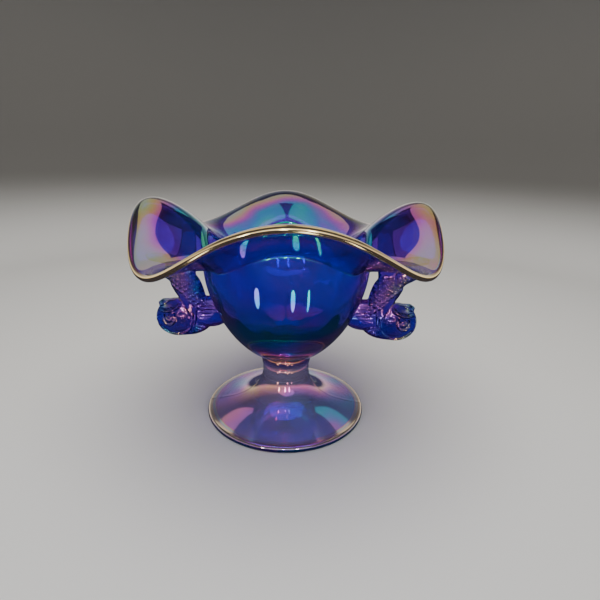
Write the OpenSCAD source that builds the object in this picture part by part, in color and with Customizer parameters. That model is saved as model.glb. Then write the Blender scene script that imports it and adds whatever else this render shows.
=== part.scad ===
// Footed glass compote with a ruffled rim and two handles shaped like fish.
// The real object is one piece of pressed glass; the nodes are its named features,
// which meet face to face. Z is up, the origin is the middle of the foot's resting
// ring, X runs through the two handles and -Y is the front.

/* [Foot] */
// Outer radius of the round foot
foot_r = 51; // [47:0.5:55]
// Height of the foot's rounded edge
foot_edge_h = 4; // [3.5:0.25:5]
// Width of the flat ring that the foot rests on
foot_ring_w = 4; // [3:0.5:6]
// Height of the hollow under the foot
foot_hollow_h = 11; // [6:0.5:14]

/* [Stem] */
// Radius of the stem
stem_r = 14.6; // [13:0.1:17]
// Height where the foot's flank becomes the stem
stem_bottom_z = 29; // [27:0.5:30]
// Height of the groove below the stem's ring
groove_z = 33; // [32:0.25:34]
// Height where the stem becomes the cup
stem_top_z = 39.5; // [38:0.5:41]
// How far the ring stands out of the stem
ring_bulge = 0.8; // [0.5:0.1:2]

/* [Cup] */
// Outer radius of the cup at its top
cup_r = 49.8; // [47:0.2:52]
// Height of the cup's top, where the rim starts
cup_top_z = 98; // [96:0.5:99]
// Thickness of the glass at the cup's top
wall = 4; // [3:0.25:5]
// Height of the cup's inner floor
floor_z = 50; // [48:0.5:56]

/* [Ruffled rim] */
// Reach of the crests: right, back, left, front
crest_reach = [85, 89, 86, 91]; // [80:0.5:100]
// Height of the crests: right, back, left, front
crest_z = [131.5, 131.5, 131.5, 135]; // [130:0.1:145]
// Reach of the troughs: back right, back left, front left, front right
trough_reach = [91.5, 91.5, 91, 91.5]; // [86:0.5:98]
// Height of the troughs: back right, back left, front left, front right
trough_z = [110.5, 110.5, 105.5, 107]; // [105:0.1:114]
// How far the lip droops at the crests: right, back, left, front
crest_droop = [10, 3, 11.5, 1]; // [0:0.5:14]
// How far the lip droops at the troughs
trough_droop = 4; // [0:0.5:8]
// Thickness of the glass at the rim's edge
edge_t = 3.5; // [3:0.1:4.5]
// Height of the throat under a crest
throat_crest_z = 115.5; // [112:0.5:119]
// Height of the throat under a trough
throat_trough_z = 101; // [99.5:0.5:104]
// How many degrees the front crest spreads to each side
front_spread = 6; // [0:0.5:8]

/* [Fish handles] */
// Thickness of the fish's body
fish_t = 9; // [7:0.5:11]
// Thickness of the fish's head
head_t = 12; // [10:0.5:14]
// Radius of the fish's head
head_r = 13; // [12.5:0.25:14]
// Distance from the bowl's axis to the middle of the head
head_x = 68.5; // [67.5:0.25:69]
// Height of the middle of the head
head_z = 63; // [62:0.25:63.5]
// Radius of the eye
eye_r = 2.2; // [1.5:0.1:3]
// Turn of the two handles about the axis, away from the crests
handle_turn = -3; // [-6:0.5:6]

/* [Hidden] */
$fn = 96;
curve_steps = 16;
rim_columns = 96;
wall_steps = 2;
flare_steps = 14;
edge_steps = 6;
foot_round_r = 2;
rim_out = 2;
rim_rise = 5.5;
lip_in = 8;
flat_edge = 1;
void_r = 20;
void_reach = 95;
void_top = 170;

// The point at t on a cubic curve with four control points
function bezier(p, t) =
    pow(1 - t, 3) * p[0] + 3 * t * pow(1 - t, 2) * p[1]
    + 3 * t * t * (1 - t) * p[2] + pow(t, 3) * p[3];

// Points along a cubic curve, both ends included
function curve(p, steps) = [for (i = [0:steps]) bezier(p, i / steps)];

// Points along an arc, both ends included
function arc(centre, r, from, to, steps) =
    [for (i = [0:steps]) let(a = from + (to - from) * i / steps)
        centre + r * [cos(a), sin(a)]];

// ---- Foot, stem and cup: outlines of radius and height, turned about the axis ----
// Each pair of inner control points says which way a curve leaves one end and meets the other

foot_rim_r = foot_r - foot_round_r;
flank_controls = [[stem_r + 0.5, 13.5], [28, 7]];
hollow_controls = [[foot_rim_r - 10, 3], [18, foot_hollow_h]];
outside_controls = [[30, 45.5], [48, 70]];
inside_controls = [[cup_r - wall - 1.8, 66], [20, floor_z]];

foot_flank = curve(concat([[stem_r, stem_bottom_z]], flank_controls,
                          [[foot_rim_r, foot_edge_h]]), curve_steps);
foot_edge = arc([foot_rim_r, foot_edge_h - foot_round_r], foot_round_r, 75, -60, 6);
foot_under = curve(concat([[foot_rim_r - foot_ring_w, 0]], hollow_controls,
                          [[0, foot_hollow_h]]), curve_steps);
ring_mid_z = (groove_z + stem_top_z) / 2;
ring_half_h = (stem_top_z - groove_z) / 2;
ring_side = [for (a = [-90:15:90])
    [stem_r + ring_bulge * cos(a), ring_mid_z + ring_half_h * sin(a)]];
cup_outside = curve(concat([[stem_r, stem_top_z]], outside_controls,
                           [[cup_r, cup_top_z]]), curve_steps);
cup_inside = curve(concat([[cup_r - wall, cup_top_z]], inside_controls,
                          [[0, floor_z]]), curve_steps);

module foot() {
    color("slateblue")
        rotate_extrude()
            polygon(concat([[0, stem_bottom_z]], foot_flank, foot_edge,
                           [[foot_rim_r - flat_edge, 0]], foot_under));
}

module stem_ring() {
    color("mediumblue")
        rotate_extrude()
            polygon(concat([[0, stem_bottom_z], [stem_r, stem_bottom_z]], ring_side,
                           [[0, stem_top_z]]));
}

module cup() {
    color("blue")
        rotate_extrude()
            polygon(concat([[0, stem_top_z]], cup_outside, cup_inside));
}

// ---- Ruffled rim: a swept wall whose throat, reach and height change round the bowl ----

// The front half of the ruffle has a wide crest, so its troughs lie nearer the sides
function spread(angle) = angle > 180 ? angle + front_spread * sin(2 * angle) : angle;

// A value that goes smoothly from crest to trough and back, four times round
function ruffle(crests, troughs, angle) =
    let(turn = spread(angle) / 45,
        k = floor(turn),
        w = (1 - cos(180 * (turn - k))) / 2,
        a = k % 2 == 0 ? crests[(k / 2) % 4] : troughs[((k - 1) / 2) % 4],
        b = k % 2 == 0 ? troughs[(k / 2) % 4] : crests[((k + 1) / 2) % 4])
    a * (1 - w) + b * w;

function same(v) = [v, v, v, v];

// The middle of the glass, in radius and height, from the cup's top to the lip
function rim_middle(angle) =
    let(throat_z = ruffle(same(throat_crest_z), same(throat_trough_z), angle),
        reach = ruffle(crest_reach, trough_reach, angle) - edge_t / 2,
        lip_z = ruffle(crest_z, trough_z, angle),
        droop = ruffle(crest_droop, same(trough_droop), angle),
        base_r = cup_r - wall / 2)
    concat(
        [for (i = [0:wall_steps - 1])
            [base_r, cup_top_z + (throat_z - cup_top_z) * i / wall_steps]],
        curve([[base_r, throat_z], [base_r + rim_out, throat_z + rim_rise],
               [reach - lip_in, lip_z + droop], [reach, lip_z]], flare_steps));

// One slice of the rim: down the inside, under the lip and back up the outside
function rim_slice(angle) =
    let(m = rim_middle(angle),
        last = len(m) - 1,
        along = [for (i = [0:last]) i == 0 ? [0, 1]
                 : let(d = m[min(i + 1, last)] - m[i - 1]) d / norm(d)],
        half = [for (i = [0:last]) (wall + (edge_t - wall) * i / last) / 2],
        inner = [for (i = [0:last]) m[i] + half[i] * [-along[i][1], along[i][0]]],
        outer = [for (i = [0:last]) m[i] - half[i] * [-along[i][1], along[i][0]]],
        lip = [for (k = [1:edge_steps - 1]) let(a = 90 - 180 * k / edge_steps)
               m[last] + half[last] * (cos(a) * along[last]
                                       + sin(a) * [-along[last][1], along[last][0]])])
    concat(inner, lip, [for (i = [last:-1:0]) outer[i]]);

module swept_ring(slices) {
    rows = len(slices[0]);
    columns = len(slices);
    points = [for (c = [0:columns - 1]) let(a = 360 * c / columns)
              for (p = slices[c]) [p[0] * cos(a), p[0] * sin(a), p[1]]];
    faces = [for (c = [0:columns - 1], r = [0:rows - 1])
             let(d = (c + 1) % columns, s = (r + 1) % rows)
             [c * rows + r, d * rows + r, d * rows + s, c * rows + s]];
    polyhedron(points, faces, convexity = 8);
}

module ruffled_rim() {
    color("royalblue")
        swept_ring([for (c = [0:rim_columns - 1]) rim_slice(360 * c / rim_columns)]);
}

// ---- Fish handles: head down and outward, back against the cup, tail under the rim ----

head = [head_x, head_z];
head_edge = arc(head, head_r, -115, 28, 16);
snout = arc([head_x + 9.5, head_z + 8.6], 3.2, 0, 120, 6);
notch = [[head_x + 5, head_z + 11], [head_x - 0.5, head_z + 10.8]];
back_of_body = [[head_x + 2, head_z + 16], [head_x + 9, head_z + 24]];
outer_fluke = arc([head_x + 12, head_z + 32], 4, -30, 120, 6);
fork = [[head_x + 3, head_z + 30]];
inner_fluke = [[head_x, head_z + 44], [head_x - 6, head_z + 60], [head_x - 13, head_z + 60]];
wall_gap = [[56.5, 91], [52, 77]];
belly = [[44, 79], [38, 66], [44, 60], [52, 53]];

module fish_outline() {
    polygon(concat(head_edge, snout, notch, back_of_body, outer_fluke, fork,
                   inner_fluke, wall_gap, belly));
}

module fish_solid() {
    rotate([90, 0, 0])
        linear_extrude(fish_t, center = true)
            fish_outline();
    translate([head_x, 0, head_z])
        rotate([90, 0, 0])
            cylinder(h = head_t, r = head_r - 3, center = true);
    translate([head_x + 4, 0, head_z - 0.5])
        rotate([90, 0, 0])
            cylinder(h = head_t + 1, r = eye_r, center = true);
}

// Everything inside the cup's outside and above the rim's underside
module bowl_space() {
    rotate_extrude()
        polygon(concat([[0, stem_top_z]], cup_outside, [[0, cup_top_z]]));
    swept_ring([for (c = [0:rim_columns - 1])
                let(slice = rim_slice(360 * c / rim_columns),
                    under = wall_steps + flare_steps + edge_steps)
                concat([for (i = [under:len(slice) - 1]) slice[i]],
                       [[void_r, cup_top_z], [void_r, void_top],
                        [void_reach, void_top]])]);
}

module fish_handle(side_angle) {
    color("darkslateblue")
        difference() {
            rotate([0, 0, side_angle + handle_turn]) fish_solid();
            bowl_space();
        }
}

module left_fish_handle() {
    fish_handle(180);
}

module right_fish_handle() {
    fish_handle(0);
}

foot();
stem_ring();
cup();
ruffled_rim();
left_fish_handle();
right_fish_handle();
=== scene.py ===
"""Looks for the footed glass compote with a ruffled rim and two fish handles.

The glass of the foot, stem, cup and rim is one closed skin, as it is in the real object, and
each fish handle is a closed skin set a little way into the cup's wall. Z is up, X runs through
the handles and -Y is the front, as in the CAD model. Sizes are in millimetres until a mesh is
made.
"""

from math import cos, pi, radians, sin

import bpy
import numpy as np
from mathutils import Matrix, Vector


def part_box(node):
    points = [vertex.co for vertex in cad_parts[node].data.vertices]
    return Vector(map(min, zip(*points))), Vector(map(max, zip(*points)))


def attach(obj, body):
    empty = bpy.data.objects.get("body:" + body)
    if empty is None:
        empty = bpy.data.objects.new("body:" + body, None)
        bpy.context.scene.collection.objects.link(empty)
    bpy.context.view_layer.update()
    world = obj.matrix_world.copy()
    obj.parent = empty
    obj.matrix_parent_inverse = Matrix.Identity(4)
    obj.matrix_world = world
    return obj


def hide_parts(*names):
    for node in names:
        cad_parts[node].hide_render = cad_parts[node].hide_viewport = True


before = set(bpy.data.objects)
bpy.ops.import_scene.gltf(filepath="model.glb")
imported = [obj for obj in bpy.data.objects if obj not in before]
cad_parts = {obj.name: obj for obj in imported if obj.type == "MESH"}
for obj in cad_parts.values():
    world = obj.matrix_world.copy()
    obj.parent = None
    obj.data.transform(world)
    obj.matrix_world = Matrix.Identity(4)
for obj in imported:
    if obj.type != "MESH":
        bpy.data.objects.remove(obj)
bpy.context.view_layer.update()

MM = 0.001


def top_corner(node):
    """A CAD node's highest corner, in millimetres."""
    return np.array(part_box(node)[1]) / MM


# ---- Driving sizes, read from the CAD nodes where their boxes give them ----

FOOT_R, _, STEM_BOTTOM_Z = top_corner("foot")
STEM_TOP_Z = top_corner("stem_ring")[2]
CUP_R, _, CUP_TOP_Z = top_corner("cup")

FOOT_EDGE_H = 4.0
FOOT_ROUND_R = 2.0
FOOT_RING_W = 4.0
FLAT_EDGE = 1.0
FOOT_HOLLOW_H = 11.0
STEM_R = 14.6
GROOVE_Z = 33.0
RING_BULGE = 0.8
GROOVE_DEPTH = 0.5
# How far a groove spreads, in radians round the ring's section
GROOVE_SPREAD = 0.3
WALL = 4.0
FLOOR_Z = 50.0
EDGE_T = 3.5

# Inner control points of the outline's curves, in radius and height
FOOT_RIM_R = FOOT_R - FOOT_ROUND_R
HOLLOW_CONTROLS = [[18, FOOT_HOLLOW_H], [FOOT_RIM_R - 10, 3]]
FLANK_CONTROLS = [[28, 7], [STEM_R + 0.5, 13.5]]
OUTSIDE_CONTROLS = [[30, 45.5], [48, 70]]
INSIDE_CONTROLS = [[CUP_R - WALL - 1.8, 66], [20, FLOOR_Z]]

# Crests lie at the right, back, left and front; troughs at the corners between them
CREST_REACH = [85, 89, 86, 91]
CREST_Z = [131.5, 131.5, 131.5, 135]
TROUGH_REACH = [91.5, 91.5, 91, 91.5]
TROUGH_Z = [110.5, 110.5, 105.5, 107]
CREST_DROOP = [10, 3, 11.5, 1]
TROUGH_DROOP = 4.0
THROAT_CREST_Z = 115.5
THROAT_TROUGH_Z = 101.0
FRONT_SPREAD = 6.0
RIM_OUT = 2.0
RIM_RISE = 5.5
LIP_IN = 8.0

# How far the lip keeps inside the CAD rim, whose crests are cut by its facets
INSET = 0.07

# How many columns the vessel's skin has, and how many steps each stretch of its outline
COLUMNS = 320
HOLLOW_STEPS = 24
EDGE_STEPS = 14
FLANK_STEPS = 40
RING_STEPS = 18
CUP_STEPS = 48
WALL_STEPS = 10
FLARE_STEPS = 40
LIP_STEPS = 14

# Slow waves in the cup's walls: how many go round, how they lean as they rise, their share
WAVES = ((7, 1, 1.0), (11, -1, 0.7), (17, 0, 0.6))
WAVE_LEAN_H = 14.0
INSIDE_WAVE = 0.4
OUTSIDE_WAVE = 0.05
OUTSIDE_WAVE_TURN = 2.0

# The lustre's fade past the lip and its place on the foot's shoulder, in rows of the skin
LIP_FADE_ROWS = 3
SHOULDER_START_ROW = 8
SHOULDER_FULL_ROW = 11
SHOULDER_LUSTRE = 0.75

SEAM_H = 0.15
HANDLE_TURN = -3.0


def curve(start, controls, end, steps):
    """Points along a cubic curve with two inner control points, both ends included."""
    p = np.array([start, *controls, end], float)
    t = np.linspace(0, 1, steps + 1)[:, None]
    s = 1 - t
    return s**3 * p[0] + 3 * s**2 * t * p[1] + 3 * s * t**2 * p[2] + t**3 * p[3]


def arc(centre, r, start, end, steps):
    """Points along an arc from one angle to another, in degrees, both ends included."""
    a = np.radians(np.linspace(start, end, steps + 1))
    return np.array(centre, float) + r * np.stack([np.cos(a), np.sin(a)], 1)


def step_up(value, start, end):
    """0 before start, 1 after end, and smooth between them."""
    t = np.clip((value - start) / (end - start), 0, 1)
    return t * t * (3 - 2 * t)


def ridge(distance, width):
    """The height of a smooth ridge, 1 on its line, at a distance from it."""
    return np.exp(-((distance / width) ** 2))


def mesh_object(name, vertices, faces):
    """A smooth-shaded mesh object, from points in millimetres."""
    mesh = bpy.data.meshes.new(name)
    mesh.from_pydata((np.asarray(vertices) * MM).tolist(), [], faces)
    mesh.shade_smooth()
    mesh.update()
    piece = bpy.data.objects.new(name, mesh)
    bpy.context.scene.collection.objects.link(piece)
    return piece


# ---- Vessel ----

def ruffle(crests, troughs, angle):
    """A value that goes smoothly from crest to trough and back, four times round."""
    spread = angle + (FRONT_SPREAD * sin(2 * radians(angle)) if angle > 180 else 0)
    turn = spread / 45
    k = int(turn // 1)
    w = (1 - cos(pi * (turn - k))) / 2
    if k % 2 == 0:
        here, there = crests[(k // 2) % 4], troughs[(k // 2) % 4]
    else:
        here, there = troughs[(k // 2) % 4], crests[((k + 1) // 2) % 4]
    return here * (1 - w) + there * w


def rim_middle(angle):
    """The middle of the rim's glass at one angle, in radius and height, from cup to lip."""
    throat_z = ruffle([THROAT_CREST_Z] * 4, [THROAT_TROUGH_Z] * 4, angle)
    reach = ruffle(CREST_REACH, TROUGH_REACH, angle) - EDGE_T / 2 - INSET
    lip_z = ruffle(CREST_Z, TROUGH_Z, angle) - INSET
    droop = ruffle(CREST_DROOP, [TROUGH_DROOP] * 4, angle)
    base_r = CUP_R - WALL / 2
    wall = np.linspace([base_r, CUP_TOP_Z], [base_r, throat_z], WALL_STEPS + 1)[:-1]
    flare = curve([base_r, throat_z], [[base_r + RIM_OUT, throat_z + RIM_RISE],
                                       [reach - LIP_IN, lip_z + droop]], [reach, lip_z],
                  FLARE_STEPS)
    return np.concatenate([wall, flare])


def rim_sides(angle):
    """The rim's outside from the cup up, the round lip, and the inside down to the cup."""
    m = rim_middle(angle)
    along = np.gradient(m, axis=0)
    along /= np.linalg.norm(along, axis=1)[:, None]
    along[0] = [0, 1]
    across = np.stack([-along[:, 1], along[:, 0]], 1)
    half = np.linspace(WALL, EDGE_T, len(m))[:, None] / 2
    a = np.radians(np.linspace(-90, 90, LIP_STEPS + 1)[1:-1])[:, None]
    lip = m[-1] + half[-1] * (np.cos(a) * along[-1] + np.sin(a) * across[-1])
    return m - half * across, lip, (m + half * across)[::-1]


def cup_wave(side, angle, depth, turn):
    """How far the waves push one side of the cup's wall in or out, fading to its two ends."""
    turn += radians(angle)
    lean = side[:, 1] / WAVE_LEAN_H
    wave = sum(share * np.sin(count * turn + way * lean) for count, way, share in WAVES)
    fade = np.sin(np.linspace(0, pi, len(side))) ** 2
    return depth * side[:, 0] / CUP_R * fade * wave


def stem_ring_side():
    """The ring round the stem, with a groove above and below it."""
    ring_z = (GROOVE_Z + STEM_TOP_Z) / 2
    half_h = (STEM_TOP_Z - GROOVE_Z) / 2
    a = np.radians(np.linspace(-90, 90, RING_STEPS + 1))
    ring = np.stack([STEM_R + RING_BULGE * np.cos(a), ring_z + half_h * np.sin(a)], 1)
    ring[:, 0] -= GROOVE_DEPTH * (ridge(a - a[0], GROOVE_SPREAD)
                                  + ridge(a - a[-1], GROOVE_SPREAD))
    below = [[STEM_R, GROOVE_Z - 1.0], [STEM_R - 0.4 * GROOVE_DEPTH, GROOVE_Z - 0.4]]
    return np.concatenate([below, ring])


def vessel_profile(angle):
    """The outline at one angle in named stretches, in order from the foot's hollow to the
    cup's floor, without the two points on the axis."""
    hollow = curve([0, FOOT_HOLLOW_H], HOLLOW_CONTROLS, [FOOT_RIM_R - FOOT_RING_W, 0],
                   HOLLOW_STEPS)[1:]
    hollow = np.concatenate([hollow, [[FOOT_RIM_R - FLAT_EDGE, 0]]])
    edge = arc([FOOT_RIM_R, FOOT_EDGE_H - FOOT_ROUND_R], FOOT_ROUND_R, -60, 75, EDGE_STEPS)
    flank = curve([FOOT_RIM_R, FOOT_EDGE_H], FLANK_CONTROLS, [STEM_R, STEM_BOTTOM_Z],
                  FLANK_STEPS)
    outside = curve([STEM_R, STEM_TOP_Z], OUTSIDE_CONTROLS, [CUP_R, CUP_TOP_Z],
                    CUP_STEPS)[1:-1]
    inside = curve([CUP_R - WALL, CUP_TOP_Z], INSIDE_CONTROLS, [0, FLOOR_Z],
                   CUP_STEPS)[1:-1]
    inside[:, 0] += cup_wave(inside, angle, INSIDE_WAVE, 0.0)
    outside[:, 0] += cup_wave(outside, angle, OUTSIDE_WAVE, OUTSIDE_WAVE_TURN)
    rim_out, lip, rim_in = rim_sides(angle)
    return {"hollow": hollow, "edge": edge, "flank": flank, "ring": stem_ring_side(),
            "outside": outside, "rim_out": rim_out, "lip": lip, "rim_in": rim_in,
            "inside": inside}


def vessel_shares(start, rows):
    """How much lustre, matte finish with painted sheen, and seam each row of the skin has, from
    where stretches start.
    """
    row = np.arange(rows)
    lip = step_up(row, start["lip"] - LIP_FADE_ROWS, start["lip"])
    lip *= 1 - step_up(row, start["rim_in"] - 1, start["rim_in"] - 1 + LIP_FADE_ROWS)
    shoulder_row = start["edge"] + SHOULDER_START_ROW
    above_edge = step_up(row, shoulder_row, start["edge"] + SHOULDER_FULL_ROW)
    shoulder = above_edge * (1 - step_up(row, start["flank"], start["flank"] + 2))
    lip = np.maximum(lip, SHOULDER_LUSTRE * shoulder)
    # The foot's top: a rougher finish and a pale painted sheen that stands for reflected light
    matte_and_painted_sheen = step_up(row, shoulder_row, start["flank"])
    matte_and_painted_sheen *= 1 - step_up(row, start["ring"], start["outside"])
    seam = above_edge * (1 - step_up(row, start["outside"], start["outside"] + 4))
    return lip, matte_and_painted_sheen, seam


def build_vessel():
    """The foot, stem, cup and rim as one closed skin of glass."""
    angles = [360 * c / COLUMNS for c in range(COLUMNS)]
    rings = np.array([np.concatenate(list(vessel_profile(a).values())) for a in angles])
    rows = rings.shape[1]
    start = {}
    first_row = 0
    for name, stretch in vessel_profile(0).items():
        start[name] = first_row
        first_row += len(stretch)
    lip_share, matte_and_painted_sheen_share, seam_share = vessel_shares(start, rows)
    # The mould's seam, a low thin ridge down the stem and foot in line with each handle
    for side_angle in (0, 180):
        column = round((side_angle + HANDLE_TURN) % 360 * COLUMNS / 360)
        rings[column] += SEAM_H * seam_share[:, None]
    a = np.radians(angles)[:, None]
    points = np.stack([rings[..., 0] * np.cos(a), rings[..., 0] * np.sin(a), rings[..., 1]], 2)
    points = np.concatenate([points.reshape(-1, 3), [[0, 0, FOOT_HOLLOW_H], [0, 0, FLOOR_Z]]])
    under_pole, floor_pole = len(points) - 2, len(points) - 1
    faces = []
    for c in range(COLUMNS):
        d = (c + 1) % COLUMNS
        faces += [(c * rows + r, d * rows + r, d * rows + r + 1, c * rows + r + 1)
                  for r in range(rows - 1)]
        faces.append((under_pole, d * rows, c * rows))
        faces.append((c * rows + rows - 1, d * rows + rows - 1, floor_pole))
    vessel = mesh_object("compote_glass", points, faces)
    # The lip's lustre, and the foot's matte finish with its painted sheen, go on the mesh
    for name, share in (("lip", lip_share), ("matte_and_painted_sheen", matte_and_painted_sheen_share)):
        layer = vessel.data.attributes.new(name, "FLOAT", "POINT")
        values = np.concatenate([np.tile(share, COLUMNS), [0, 0]])
        layer.data.foreach_set("value", values.astype(np.float32))
    return vessel


# ---- Fish handles: drawn in a plane, x outwards from the bowl's axis and z up ----

VOXEL = 0.42
SOFTEN_PASSES = 14
# How far the fish is set into the glass of the cup and the rim
SET_IN = 0.6
# How far the straight throat goes on above the cup, behind a fish
THROAT_H = 16.0
HEAD = np.array([68.5, 62.5])
JAW_R = 10.6
CHIN_R = 12.4
EYE = np.array([72.6, 62.3])
EYE_R = 1.9
LID_R = 3.4
CHEEK = np.array([64.2, 64.2])
CHEEK_R = 3.4
MOUTH = [[84, 60.5], [79, 59.5], [76.5, 56.5]]
BROW = [[81.5, 70.5], [74, 64.8], [66, 71.5]]
SPINE = [[57, 66], [57, 77], [67, 92]]
BEAD_PITCH = 2.7
BEAD_ROW = 0.86 * BEAD_PITCH
BEAD_R = 1.25


def swept(path, half_w, half_t, steps=28, sides=32):
    """A closed skin along a smooth path, with an oval section that changes on the way."""
    key = np.linspace(0, 1, len(path))
    t = np.linspace(0, 1, steps)
    order = len(path) - 1
    place = [np.polyval(np.polyfit(key, np.array(path, float)[:, i], order), t) for i in (0, 1)]
    middle = np.stack(place, 1)
    along = np.gradient(middle, axis=0)
    along /= np.linalg.norm(along, axis=1)[:, None]
    across = np.stack([-along[:, 1], along[:, 0]], 1)
    width = np.interp(t, np.linspace(0, 1, len(half_w)), half_w)
    thick = np.interp(t, np.linspace(0, 1, len(half_t)), half_t)
    points, faces = [], []
    for i in range(steps):
        for j in range(sides):
            a = 2 * pi * j / sides
            x, z = middle[i] + across[i] * width[i] * cos(a)
            points.append((x, thick[i] * sin(a), z))
    for i in range(steps - 1):
        for j in range(sides):
            k = (j + 1) % sides
            faces.append((i * sides + j, i * sides + k, (i + 1) * sides + k, (i + 1) * sides + j))
    faces.append(tuple(range(sides)))
    faces.append(tuple(reversed(range((steps - 1) * sides, steps * sides))))
    return points, faces


def pebble(centre, half_x, half_z, half_t, fullness=2.6, rings=24, sides=72):
    """A round flat pebble in the plane; a greater fullness gives it flatter sides."""
    points, faces = [(centre[0], half_t, centre[1])], []
    for side in (1, -1):
        for i in range(1, rings + 1):
            r = sin(pi / 2 * i / rings)
            y = half_t * max(1 - r**fullness, 0) ** (1 / fullness)
            if side < 0 and i == rings:
                break
            for j in range(sides):
                a = 2 * pi * j / sides
                points.append((centre[0] + half_x * r * cos(a), side * y,
                               centre[1] + half_z * r * sin(a)))
    first_low = 1 + rings * sides
    low_rings = [first_low + i * sides for i in range(rings - 1)] + [1 + (rings - 1) * sides]
    points.append((centre[0], -half_t, centre[1]))
    bottom = len(points) - 1
    for j in range(sides):
        k = (j + 1) % sides
        faces.append((0, 1 + k, 1 + j))
        faces.append((bottom, low_rings[0] + j, low_rings[0] + k))
        for i in range(rings - 1):
            a, b = 1 + i * sides, 1 + (i + 1) * sides
            faces.append((a + j, a + k, b + k, b + j))
            c, d = low_rings[i], low_rings[i + 1]
            faces.append((c + j, d + j, d + k, c + k))
    return points, faces


def joined(parts):
    """Several skins as one list of points and faces."""
    points, faces = [], []
    for part_points, part_faces in parts:
        start = len(points)
        points += [tuple(p) for p in part_points]
        faces += [tuple(start + i for i in f) for f in part_faces]
    return points, faces


def line_distance(x, z, line, samples=60):
    """The distance of each point from a smooth line through three control points."""
    t = np.linspace(0, 1, samples)[:, None]
    a, b, c = (np.array(p, float) for p in line)
    drawn = (1 - t) ** 2 * a + 2 * t * (1 - t) * b + t**2 * c
    return np.sqrt(((x[:, None] - drawn[:, 0]) ** 2 + (z[:, None] - drawn[:, 1]) ** 2).min(1))


def fish_relief(x, z):
    """How far the fish's moulded detail stands out of its plain body, at each point of its side."""
    r = np.hypot(x - HEAD[0], z - HEAD[1])
    a = np.degrees(np.arctan2(z - HEAD[1], x - HEAD[0]))
    jaw_side = np.where(a > 90, a - 360, a)
    on_jaw = step_up(jaw_side, -208, -190) * (1 - step_up(jaw_side, -38, -22))
    height = 0.5 * np.clip(1 - (r / 9.6) ** 2, 0, 1)
    height += 1.15 * ridge(r - JAW_R, 0.65) * on_jaw
    height += 0.8 * ridge(r - CHIN_R, 0.45) * step_up(jaw_side, -165, -150)
    height *= 1 - 0.9 * ridge(line_distance(x, z, MOUTH), 0.55)
    # The cheek, the eye with its lower lid, and the brow that dips between snout and crown
    cheek_r = np.hypot(x - CHEEK[0], z - CHEEK[1])
    height += 1.1 * np.clip(1 - (cheek_r / CHEEK_R) ** 2, 0, 1)
    eye_r = np.hypot(x - EYE[0], z - EYE[1])
    height += 1.35 * np.sqrt(np.clip(1 - (eye_r / EYE_R) ** 2, 0, 1))
    under_eye = 1 - step_up(z - EYE[1], -0.8, 1.2)
    height += 1.0 * ridge(eye_r - LID_R, 0.5) * under_eye
    height += 1.6 * ridge(line_distance(x, z, BROW), 0.95)
    # Rows of bead scales from the cheek up to the tail
    along = 0.78 * (z - SPINE[0][1]) + 0.4 * (x - SPINE[0][0])
    across = 0.78 * (x - SPINE[0][0]) - 0.4 * (z - SPINE[0][1])
    row = np.round(along / BEAD_ROW)
    shift = 0.5 * BEAD_PITCH * (row % 2)
    column = np.round((across - shift) / BEAD_PITCH)
    bead = np.hypot(across - shift - column * BEAD_PITCH, along - row * BEAD_ROW)
    scaled = step_up(r, 11.6, 12.2) * (1 - step_up(line_distance(x, z, SPINE), 7.0, 8.0))
    scaled *= step_up(z - 0.9 * (x - 52), 66.0, 69.0) * (1 - step_up(z, 90, 93))
    height += 1.05 * np.sqrt(np.clip(1 - (bead / BEAD_R) ** 2, 0, 1)) * scaled
    # Fine ribs of the fin between the jaw and the cup, and short ribs above it
    turn = np.where(a < 0, a + 360, a)
    fin = step_up(turn, 190, 198) * (1 - step_up(turn, 246, 254)) * step_up(r, 12.6, 13.4)
    height += 0.5 * np.cos(np.radians(turn * 45)) * fin
    gill = ridge((x - 49.5) / 4.5, 1) * ridge((z - 68.5) / 4, 1) * step_up(r, 13, 14)
    height += 0.5 * np.cos(2 * pi * z / 2.4) * gill
    # Shallow grooves along the two flukes of the tail
    fan = np.degrees(np.arctan2(z - 84, x - 62))
    fluke = step_up(z, 95, 99) * step_up(x - 0.2 * (z - 90), 64, 68)
    return height + 0.4 * np.cos(np.radians(fan * 30)) * fluke


def cup_outer_r(z):
    """The radius of the cup's outside at each height."""
    side = curve([STEM_R, STEM_TOP_Z], OUTSIDE_CONTROLS, [CUP_R, CUP_TOP_Z], 199)
    return np.interp(z, side[:, 1], side[:, 0])


def fish_parts():
    """The fish's plain body as closed skins that run into each other."""
    head = pebble(HEAD, 13.1, 12.4, 5.6)
    gills = pebble([63.5, 61.8], 17.2, 11.4, 4.3)
    belly = pebble([48.5, 66.5], 14, 10.2, 4.2)
    snout = swept([[70, 68], [75, 70.6], [80, 71.6]], [3, 4.2, 4, 3.1, 0.5],
                  [3, 4, 4.2, 3.2, 0.4])
    body = swept([[61, 66], [58.6, 76], [62.5, 85], [67.5, 92]],
                 [9.5, 8.4, 8.4, 9, 8.4, 5], [4.6, 4.8, 4.6, 4.2, 3.8, 2.6])
    inner_fluke = swept([[62, 86], [60.5, 98], [58.5, 110], [57.5, 122]],
                        [6, 6, 5.2, 4.6, 4.6], [3.8, 3.2, 2.6, 2.4, 2.4])
    outer_fluke = swept([[65, 88], [72, 92.3], [80.5, 96], [84, 98.5]],
                        [6, 5.6, 5, 3.6, 0.5], [3.8, 3.4, 2.9, 2.3, 0.4])
    return [head, gills, belly, snout, body, inner_fluke, outer_fluke]


def point_values(mesh, name):
    """The mesh's point coordinates or normals, one row for each."""
    flat = np.empty(len(mesh.vertices) * 3)
    mesh.vertices.foreach_get(name, flat)
    return flat.reshape(-1, 3)


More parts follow.
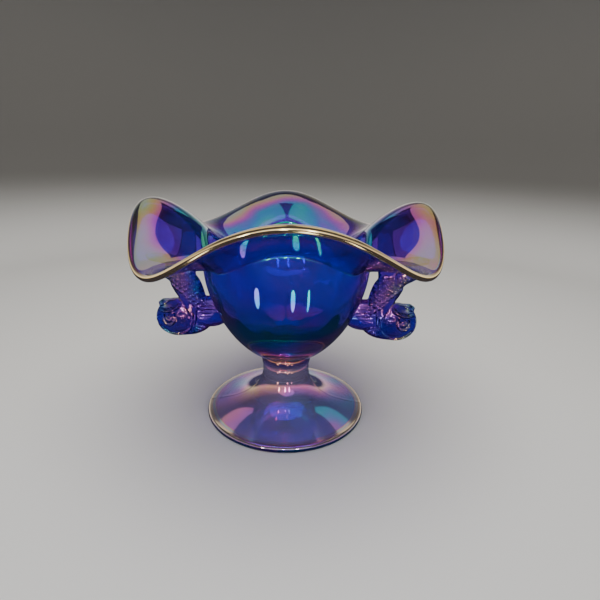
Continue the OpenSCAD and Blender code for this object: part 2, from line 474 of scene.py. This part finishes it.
def build_fish(name, side_angle):
    """One fish: head down and outwards, its back against the cup, its tail under the rim."""
    piece = mesh_object(name, *joined(fish_parts()))
    skin = piece.modifiers.new("skin", "REMESH")
    skin.mode = "VOXEL"
    skin.voxel_size = VOXEL * MM
    skin.use_smooth_shade = True
    soften = piece.modifiers.new("soften", "SMOOTH")
    soften.factor = 0.5
    soften.iterations = SOFTEN_PASSES
    ready = piece.evaluated_get(bpy.context.evaluated_depsgraph_get())
    mesh = bpy.data.meshes.new_from_object(ready)
    piece.modifiers.clear()
    piece.data = mesh
    mesh.name = name
    p = point_values(mesh, "co") / MM
    facing = np.abs(point_values(mesh, "normal")[:, 1])
    p[:, 1] += np.sign(p[:, 1]) * fish_relief(p[:, 0], p[:, 2]) * step_up(facing, 0.15, 0.6)
    # Nothing reaches further into the cup's wall or the rim's underside than it is set in
    r = np.hypot(p[:, 0], p[:, 1])
    least = np.where(p[:, 2] < CUP_TOP_Z + THROAT_H, cup_outer_r(p[:, 2]) - SET_IN, 0)
    p[:, :2] *= (np.maximum(r, least) / r)[:, None]
    under = rim_sides(side_angle)[0][WALL_STEPS:]
    roof = np.interp(np.hypot(p[:, 0], p[:, 1]), under[:, 0], under[:, 1]) + SET_IN
    p[:, 2] = np.minimum(p[:, 2], roof)
    turned = radians(side_angle + HANDLE_TURN)
    x, y = p[:, 0].copy(), p[:, 1].copy()
    p[:, 0] = x * cos(turned) - y * sin(turned)
    p[:, 1] = x * sin(turned) + y * cos(turned)
    mesh.vertices.foreach_set("co", (p * MM).ravel())
    mesh.shade_smooth()
    mesh.update()
    return piece


# ---- Materials ----

GLASS_IOR = 1.52
CLEAR = 0.965
# How much light the foot's top lets through under its painted sheen
PAINTED_SHEEN_CLEAR = 0.65
POLISHED = 0.03
FOOT_ROUGHNESS = 0.07
LIP_ROUGHNESS = 0.13
LIP_METAL = 0.95

# Two tints that clouds mix, the colour that the glass passes, and how strongly it absorbs
VESSEL_TINTS = [(0.2, 0.12, 0.9, 1), (0.14, 0.14, 0.94, 1)]
VESSEL_PASSES = (0.84, 0.12, 0.92, 1)
VESSEL_DENSITY = 560
# Painted shade: the handles, of the vessel's own glass, get deeper tints and far denser absorption
FISH_TINTS = [(0.24, 0.09, 0.86, 1), (0.15, 0.11, 0.88, 1)]
FISH_PASSES = (0.82, 0.12, 0.93, 1)
FISH_DENSITY = 1500

# Thickness of the iridescent film, in nanometres
FILM_STEM = 224
FILM_MIDDLE = 264
FILM_LIP = 193
FILM_FOOT = 240
# The film's IOR, its middle thickness, how far it strays from that, and its clouds' scale
VESSEL_FILM = (2.4, FILM_MIDDLE, 22, 30)
FISH_FILM = (1.9, 296, 30, 60)
# The radii, in metres, between which the film thickens from the stem and thins to the lip
FILM_THICKENS = (0.018, 0.05)
FILM_THINS = (0.06, 0.079)

LIP_BRONZE = (1.0, 0.76, 0.38, 1)
# A pale lavender painted sheen on the foot's top, in place of the lamps' reflection there
FOOT_PAINTED_SHEEN = (0.5, 0.5, 0.9, 1)
# Painted shade: the rim's glass turns deeper in colour between these radii, in metres
RIM_SHADE_RADII = (0.052, 0.07)
RIM_PAINTED_SHADE = (0.12, 0.06, 0.42, 1)


def set_inputs(node, **inputs):
    """The node, with some of its inputs set, each by its name with _ for a space."""
    for name, value in inputs.items():
        node.inputs[name.replace("_", " ")].default_value = value
    return node


def new_node(tree, kind, **inputs):
    """A new node with some of its inputs set."""
    return set_inputs(tree.nodes.new(kind), **inputs)


def new_material(name):
    """A new material, with its node tree and its shader."""
    material = bpy.data.materials.new(name)
    material.use_nodes = True
    return material, material.node_tree, material.node_tree.nodes["Principled BSDF"]


def map_range(tree, value, inputs, outputs):
    """A value brought from one range to another; either end of the outputs may be a socket."""
    node = new_node(tree, "ShaderNodeMapRange", From_Min=inputs[0], From_Max=inputs[1])
    tree.links.new(value, node.inputs["Value"])
    for name, end in zip(("To Min", "To Max"), outputs):
        if isinstance(end, bpy.types.NodeSocket):
            tree.links.new(end, node.inputs[name])
        else:
            node.inputs[name].default_value = end
    return node.outputs["Result"]


def mix_color(tree, share, first, second):
    """Two colours mixed by a share of the second; the first may be a socket."""
    node = tree.nodes.new("ShaderNodeMix")
    node.data_type = "RGBA"
    tree.links.new(share, node.inputs["Factor"])
    if isinstance(first, bpy.types.NodeSocket):
        tree.links.new(first, node.inputs["A"])
    else:
        node.inputs["A"].default_value = first
    node.inputs["B"].default_value = second
    return node.outputs["Result"]


def combine(tree, operation, first, second):
    """Two sockets put together by one operation."""
    node = tree.nodes.new("ShaderNodeMath")
    node.operation = operation
    tree.links.new(first, node.inputs[0])
    tree.links.new(second, node.inputs[1])
    return node.outputs["Value"]


def mesh_value(tree, name):
    """A share that the mesh carries at each of its points."""
    node = tree.nodes.new("ShaderNodeAttribute")
    node.attribute_name = name
    return node.outputs["Fac"]


def distance_from_axis(tree, place):
    """How far a place is from the bowl's axis."""
    level = tree.nodes.new("ShaderNodeVectorMath")
    level.operation = "MULTIPLY"
    level.inputs[1].default_value = (1, 1, 0)
    tree.links.new(place, level.inputs[0])
    radius = tree.nodes.new("ShaderNodeVectorMath")
    radius.operation = "LENGTH"
    tree.links.new(level.outputs["Vector"], radius.inputs[0])
    return radius.outputs["Value"]


def glass(name, tints, absorption, density, film, trimmed=False):
    """Glass under a thin iridescent film that is uneven and thins towards the lip.

    Trimmed glass also has a thinner film by the stem, a rim darkened by painted shade, a bronze
    lustre on its lip, and a rougher foot top with a pale painted sheen.
    """
    film_ior, middle, stray, cloud_scale = film
    material, tree, shader = new_material(name)
    set_inputs(shader, Roughness=POLISHED, IOR=GLASS_IOR, Transmission_Weight=CLEAR,
               Thin_Film_IOR=film_ior)
    place = tree.nodes.new("ShaderNodeTexCoord").outputs["Object"]
    radius = distance_from_axis(tree, place)
    noise = new_node(tree, "ShaderNodeTexNoise", Scale=cloud_scale, Detail=1.5)
    tree.links.new(place, noise.inputs["Vector"])
    cloud = noise.outputs["Fac"]
    uneven = map_range(tree, cloud, (0.35, 0.65), (-stray, stray))
    color = mix_color(tree, map_range(tree, cloud, (0.38, 0.62), (0, 1)), *tints)
    if trimmed:
        lip, matte_and_painted_sheen = mesh_value(tree, "lip"), mesh_value(tree, "matte_and_painted_sheen")
        middle = map_range(tree, matte_and_painted_sheen, (0, 1), (middle, FILM_FOOT))
    thickness = map_range(tree, radius, FILM_THINS, (middle, FILM_LIP))
    if trimmed:
        rise = map_range(tree, radius, FILM_THICKENS, (FILM_STEM, FILM_MIDDLE))
        thickness = combine(tree, "MINIMUM", rise, thickness)
    thickness = combine(tree, "ADD", thickness, uneven)
    if trimmed:
        bare = map_range(tree, lip, (0, 1), (1, 0))
        thickness = combine(tree, "MULTIPLY", thickness, bare)
        # Painted shade that darkens the rim's glass towards its lobes
        rim_shade = map_range(tree, radius, RIM_SHADE_RADII, (0, 1))
        color = mix_color(tree, rim_shade, color, RIM_PAINTED_SHADE)
        # Painted sheen: the foot's top is painted pale lavender, and the lip gets its bronze lustre
        color = mix_color(tree, lip, mix_color(tree, matte_and_painted_sheen, color, FOOT_PAINTED_SHEEN), LIP_BRONZE)
        worn = map_range(tree, matte_and_painted_sheen, (0, 1), (POLISHED, FOOT_ROUGHNESS))
        worn = map_range(tree, lip, (0, 1), (worn, LIP_ROUGHNESS))
        # Painted sheen: the foot's top lets less light through, so its pale colour shows
        clear = map_range(tree, matte_and_painted_sheen, (0, 1), (CLEAR, PAINTED_SHEEN_CLEAR))
        metal = map_range(tree, lip, (0, 1), (0, LIP_METAL))
        tree.links.new(clear, shader.inputs["Transmission Weight"])
        tree.links.new(worn, shader.inputs["Roughness"])
        tree.links.new(metal, shader.inputs["Metallic"])
    tree.links.new(thickness, shader.inputs["Thin Film Thickness"])
    tree.links.new(color, shader.inputs["Base Color"])
    volume = new_node(tree, "ShaderNodeVolumeAbsorption", Color=absorption, Density=density)
    tree.links.new(volume.outputs["Volume"], tree.nodes["Material Output"].inputs["Volume"])
    return material


# ---- Stage, light and camera: sizes in metres ----

FLOOR_R = 0.5
BEND_R = 0.18
WALL_H = 1.4
STAGE_SIDES = 96
# The paper turns from pale to grey as the floor bends up to this height
GREY_FROM_H = 0.12
PALE_PAPER = (0.74, 0.73, 0.71, 1)
GREY_PAPER = (0.15, 0.145, 0.136, 1)
BLACK_CARD = (0.02, 0.02, 0.022, 1)
PAPER_ROUGHNESS = 0.9

WHITE = (1.0, 1.0, 1.0)
WARM_WHITE = (1.0, 0.93, 0.76)
FRONT_STRIP_RADIANCE = 22
TABLE_STRIP_RADIANCE = 5
TABLE_STRIP_Z = 0.004

# Heights in the sky, from 0 straight down to 1 straight up, and its colour there
SKY = [(0.47, (0.03, 0.03, 0.05, 1)), (0.53, (1.0, 0.93, 0.8, 1)),
       (0.62, (0.45, 0.44, 0.43, 1)), (0.78, (0.05, 0.05, 0.065, 1))]
SKY_STRENGTH = 1.5

CAMERA_DISTANCE = 0.264
CAMERA_H = 0.166
# Round the bowl, then the way it looks aside, down and tilted from there
CAMERA_SWING = radians(-0.7)
CAMERA_TURN = radians(1.8)
CAMERA_PITCH = radians(18.98)
CAMERA_ROLL = radians(-1.2)
LENS_MM = 27
SENSOR_MM = 36


def build_stage():
    """A round pale floor that curves up into a plain grey wall all the way round."""
    a = np.radians(np.linspace(-90, 0, 13))
    radii = np.concatenate([[0.05], FLOOR_R + BEND_R * np.cos(a), [FLOOR_R + BEND_R]])
    heights = np.concatenate([[0], BEND_R + BEND_R * np.sin(a), [WALL_H]])
    turn = 2 * pi * np.arange(STAGE_SIDES) / STAGE_SIDES
    points = [(r * cos(t), r * sin(t), z) for r, z in zip(radii, heights) for t in turn]
    faces = [tuple(range(STAGE_SIDES))]
    for i in range(len(radii) - 1):
        low, high = i * STAGE_SIDES, (i + 1) * STAGE_SIDES
        for j in range(STAGE_SIDES):
            k = (j + 1) % STAGE_SIDES
            faces.append((low + j, high + j, high + k, low + k))
    floor = mesh_object("studio_sweep", np.array(points) / MM, faces)
    material, tree, shader = new_material("pale_paper")
    set_inputs(shader, Roughness=PAPER_ROUGHNESS)
    place = tree.nodes.new("ShaderNodeTexCoord")
    split = tree.nodes.new("ShaderNodeSeparateXYZ")
    tree.links.new(place.outputs["Object"], split.inputs["Vector"])
    shade = map_range(tree, split.outputs["Z"], (0, GREY_FROM_H), (0, 1))
    shade.node.interpolation_type = "SMOOTHSTEP"
    paper = mix_color(tree, shade, PALE_PAPER, GREY_PAPER)
    tree.links.new(paper, shader.inputs["Base Color"])
    floor.data.materials.append(material)
    floor.visible_glossy = False


def add_softbox(name, place, width, length, radiance, aim=None, turn=0.0, color=WHITE):
    """A soft oval light that faces straight down, turned in degrees, or faces its aim."""
    lamp = bpy.data.lights.new(name, "AREA")
    lamp.shape = "ELLIPSE"
    lamp.size = width
    lamp.size_y = length
    lamp.energy = radiance * pi * pi / 4 * width * length
    lamp.color = color
    light = bpy.data.objects.new(name, lamp)
    bpy.context.scene.collection.objects.link(light)
    light.location = place
    light.rotation_euler = (0, 0, radians(turn))
    if aim:
        light.rotation_euler = (Vector(aim) - Vector(place)).to_track_quat("-Z", "Y").to_euler()
    light.visible_camera = False
    return light


def build_flag():
    """A black card over the bowl that keeps each side's softbox out of the far lobe.

    Its corners are in millimetres, and only reflections show it.
    """
    front, back, low, high = -30, 120, 165, 400
    corners = [(0, front, low), (0, back, low), (0, back, high), (0, front, high)]
    flag = mesh_object("studio_flag", corners, [(0, 1, 2, 3)])
    material, _, shader = new_material("black_card")
    set_inputs(shader, Base_Color=BLACK_CARD, Roughness=PAPER_ROUGHNESS)
    flag.data.materials.append(material)
    flag.visible_camera = False
    flag.visible_diffuse = False
    flag.visible_transmission = False
    flag.visible_shadow = False


def build_camera():
    """The camera stands in front of the bowl, a little above its rim."""
    ahead = Vector((-sin(CAMERA_SWING), cos(CAMERA_SWING), 0))
    side = Vector((cos(CAMERA_SWING), sin(CAMERA_SWING), 0))
    level = ahead * cos(CAMERA_TURN) + side * sin(CAMERA_TURN)
    right = side * cos(CAMERA_TURN) - ahead * sin(CAMERA_TURN)
    up_axis = Vector((0, 0, 1))
    forward = level * cos(CAMERA_PITCH) - up_axis * sin(CAMERA_PITCH)
    up = level * sin(CAMERA_PITCH) + up_axis * cos(CAMERA_PITCH)
    up_rolled = up * cos(CAMERA_ROLL) + right * sin(CAMERA_ROLL)
    right_rolled = right * cos(CAMERA_ROLL) - up * sin(CAMERA_ROLL)
    data = bpy.data.cameras.new("camera")
    data.lens = LENS_MM
    data.sensor_width = SENSOR_MM
    camera = bpy.data.objects.new("camera", data)
    bpy.context.scene.collection.objects.link(camera)
    placed = Matrix((right_rolled, up_rolled, -forward)).transposed().to_4x4()
    placed.translation = -CAMERA_DISTANCE * ahead + CAMERA_H * up_axis
    camera.matrix_world = placed
    bpy.context.scene.camera = camera


def build_world():
    """A dim room, brightest just above the horizon."""
    world = bpy.data.worlds.new("studio")
    world.use_nodes = True
    tree = world.node_tree
    place = tree.nodes.new("ShaderNodeTexCoord")
    split = tree.nodes.new("ShaderNodeSeparateXYZ")
    tree.links.new(place.outputs["Generated"], split.inputs["Vector"])
    ramp = tree.nodes.new("ShaderNodeValToRGB")
    while len(ramp.color_ramp.elements) < len(SKY):
        ramp.color_ramp.elements.new(1)
    for element, (position, color) in zip(ramp.color_ramp.elements, SKY):
        element.position = position
        element.color = color
    tree.links.new(map_range(tree, split.outputs["Z"], (-1, 1), (0, 1)), ramp.inputs["Fac"])
    background = tree.nodes["Background"]
    tree.links.new(ramp.outputs["Color"], background.inputs["Color"])
    background.inputs["Strength"].default_value = SKY_STRENGTH
    bpy.context.scene.world = world


def build_lights():
    """Softboxes over the bowl and in front, and narrow strips that put streaks on the cup."""
    add_softbox("left_softbox", (-0.17, 0.2, 0.42), 0.25, 0.58, 0.8, turn=24, color=WARM_WHITE)
    add_softbox("right_softbox", (0.19, 0.2, 0.42), 0.28, 0.54, 0.8, turn=-25, color=WARM_WHITE)
    add_softbox("back_softbox", (0, 0.34, 0.42), 0.5, 0.17, 0.7)
    for name, place in (("front_left_softbox", (-0.28, -0.5, 0.17)),
                        ("front_middle_softbox", (-0.03, -0.6, 0.17)),
                        ("front_right_softbox", (0.15, -0.57, 0.17))):
        add_softbox(name, place, 0.03, 0.2, FRONT_STRIP_RADIANCE, aim=(0, 0, 0.15))
    # These lie on the table and face up; the turn is round the bowl, in degrees
    for name, turn, reach, width in (("table_left_strip", -37, 0.2, 0.02),
                                     ("table_middle_strip", 7, 0.19, 0.016),
                                     ("table_right_strip", 26, 0.19, 0.009)):
        a = radians(turn)
        place = Vector((reach * sin(a), -reach * cos(a), TABLE_STRIP_Z))
        strip = add_softbox(name, place, width, 0.14, TABLE_STRIP_RADIANCE)
        strip.rotation_euler = (pi, 0, a)
        strip.visible_transmission = False
    add_softbox("front_softbox", (0.05, -0.63, 0.3), 0.75, 0.3, 0.9, aim=(0, 0, 0.05))
    fill = add_softbox("fill_softbox", (0, -0.2, 0.9), 1.1, 0.9, 3.4)
    fill.visible_glossy = False


build_camera()
build_stage()
build_world()
build_flag()
build_lights()

vessel_glass = glass("cobalt_glass", VESSEL_TINTS, VESSEL_PASSES, VESSEL_DENSITY, VESSEL_FILM,
                     trimmed=True)
fish_glass = glass("handle_glass", FISH_TINTS, FISH_PASSES, FISH_DENSITY, FISH_FILM)

vessel = build_vessel()
vessel.data.materials.append(vessel_glass)
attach(vessel, "root")
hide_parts("foot", "stem_ring", "cup", "ruffled_rim")
for name, node, side_angle in (("left_fish", "left_fish_handle", 180),
                               ("right_fish", "right_fish_handle", 0)):
    fish = build_fish(name, side_angle)
    fish.data.materials.append(fish_glass)
    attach(fish, "root")
    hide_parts(node)
